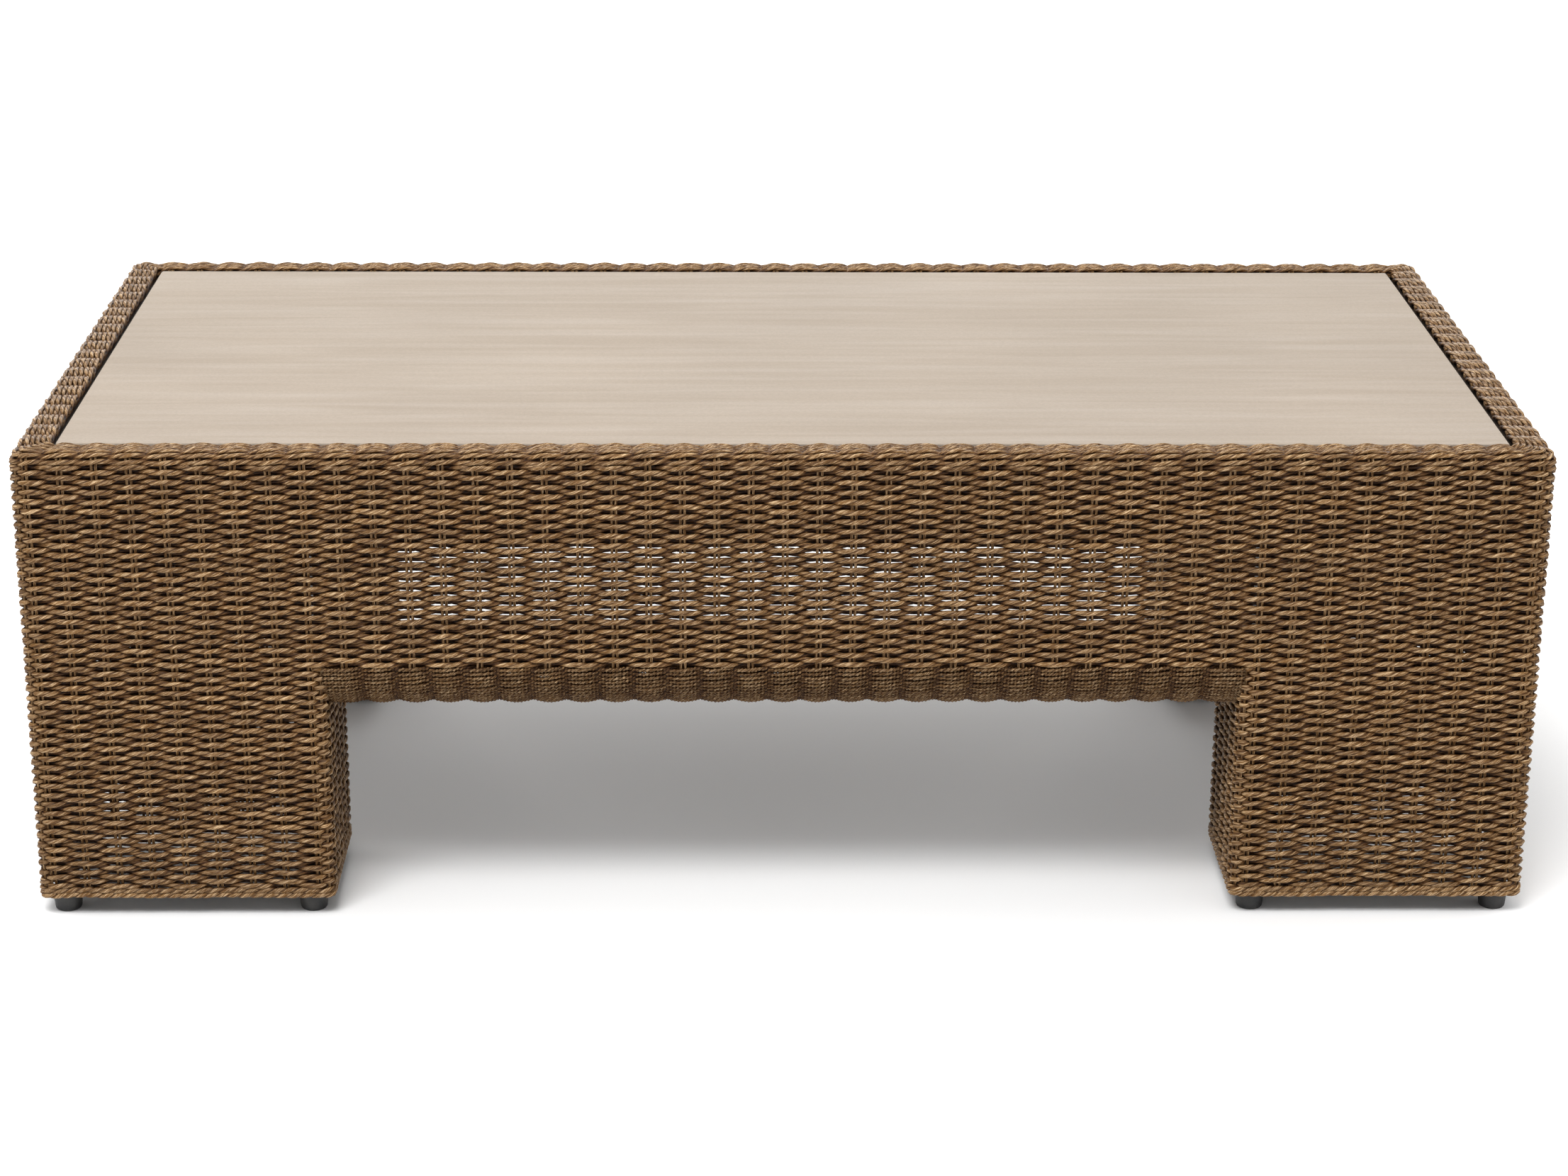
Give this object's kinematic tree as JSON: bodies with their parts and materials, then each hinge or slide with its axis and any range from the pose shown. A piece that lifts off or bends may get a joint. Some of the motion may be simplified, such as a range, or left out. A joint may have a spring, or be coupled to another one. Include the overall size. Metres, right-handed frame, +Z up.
{
  "type": "wicker coffee table",
  "caption": "Low rectangular garden coffee table: woven resin cover on a tube frame, block legs, rolled apron edge, and a pale inset top panel that lifts out.",
  "frame": {"origin": "on the floor, below the middle of the table", "axes": "+X to the right along the long side, +Y to the back, +Z up; the front is -Y"},
  "size_m": [1.397, 0.6984, 0.457],
  "materials": {
    "wicker": "twisted resin cord in a plain weave, honey brown with darker and paler strands, matte with a slight sheen on the crowns",
    "coated_frame": "fine-textured dark brown powder coat",
    "ceramic_top": "matte sintered ceramic with a faint long grain",
    "black_rubber": "matte moulded black rubber"
  },
  "bodies": {
    "table_frame": {"weave_front": "wicker", "weave_back": "wicker", "weave_left": "wicker", "weave_right": "wicker", "leg_weave_front_left": "wicker", "leg_weave_front_right": "wicker", "leg_weave_back_left": "wicker", "leg_weave_back_right": "wicker", "top_rail_front": "coated_frame", "lower_rail_outer_front": "coated_frame", "lower_rail_inner_front": "coated_frame", "top_rail_back": "coated_frame", "lower_rail_outer_back": "coated_frame", "lower_rail_inner_back": "coated_frame", "top_rail_left": "coated_frame", "lower_rail_outer_left": "coated_frame", "lower_rail_inner_left": "coated_frame", "top_rail_right": "coated_frame", "lower_rail_outer_right": "coated_frame", "lower_rail_inner_right": "coated_frame", "cross_bearer_left": "coated_frame", "cross_bearer_centre": "coated_frame", "cross_bearer_right": "coated_frame", "post_front_left_corner": "coated_frame", "glide_front_left_corner": "black_rubber", "post_front_left_long": "coated_frame", "glide_front_left_long": "black_rubber", "post_front_left_short": "coated_frame", "glide_front_left_short": "black_rubber", "post_front_left_inner": "coated_frame", "glide_front_left_inner": "black_rubber", "leg_tie_front_left": "coated_frame", "post_front_right_corner": "coated_frame", "glide_front_right_corner": "black_rubber", "post_front_right_long": "coated_frame", "glide_front_right_long": "black_rubber", "post_front_right_short": "coated_frame", "glide_front_right_short": "black_rubber", "post_front_right_inner": "coated_frame", "glide_front_right_inner": "black_rubber", "leg_tie_front_right": "coated_frame", "post_back_left_corner": "coated_frame", "glide_back_left_corner": "black_rubber", "post_back_left_long": "coated_frame", "glide_back_left_long": "black_rubber", "post_back_left_short": "coated_frame", "glide_back_left_short": "black_rubber", "post_back_left_inner": "coated_frame", "glide_back_left_inner": "black_rubber", "leg_tie_back_left": "coated_frame", "post_back_right_corner": "coated_frame", "glide_back_right_corner": "black_rubber", "post_back_right_long": "coated_frame", "glide_back_right_long": "black_rubber", "post_back_right_short": "coated_frame", "glide_back_right_short": "black_rubber", "post_back_right_inner": "coated_frame", "glide_back_right_inner": "black_rubber", "leg_tie_back_right": "coated_frame"},
    "lift_out_top": {"top_panel": "ceramic_top"}
  },
  "joints": [
    {"name": "top_lift", "type": "slide", "parent": "table_frame", "child": "lift_out_top", "axis": [0, 0, 1], "range_m": [0, 0.08]}
  ]
}
